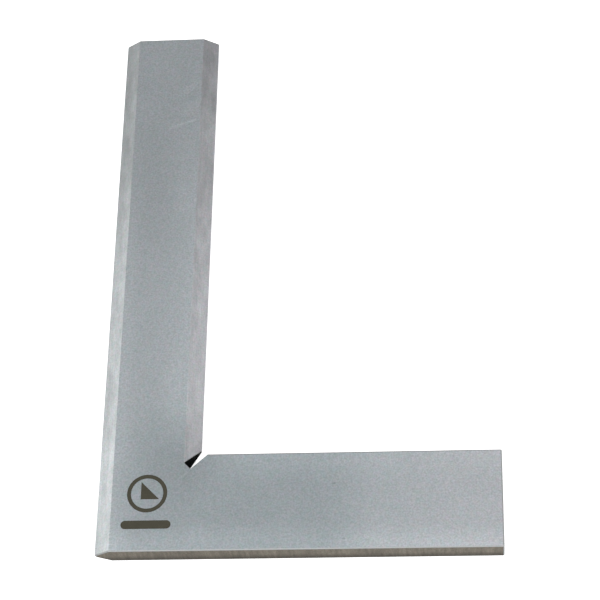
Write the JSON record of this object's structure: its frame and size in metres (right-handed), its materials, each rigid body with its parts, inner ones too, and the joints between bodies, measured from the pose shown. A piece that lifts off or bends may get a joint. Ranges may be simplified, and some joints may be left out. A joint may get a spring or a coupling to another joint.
{
  "type": "bevel-edge square",
  "caption": "Flat L-shaped steel square with a knife-edged blade, a plain square-edged beam and a relief notch at the inner corner, for checking and marking right angles.",
  "frame": {"origin": "middle of the rectangle that encloses the resting back face, 50 mm from the outer knife edge and 75 mm from the beam's outer face", "axes": "+X along the beam away from the corner, +Y along the blade away from the corner, +Z through the thickness from the back face to the marked front face"},
  "size_m": [0.1, 0.15, 0.0063],
  "materials": {
    "steel": "fine ground satin",
    "etched_black": "matte etched oxide"
  },
  "bodies": {
    "root": {"blade": "steel", "beam": "steel", "mark_ring": "etched_black", "mark_triangle": "etched_black", "mark_bar": "etched_black"}
  },
  "joints": []
}
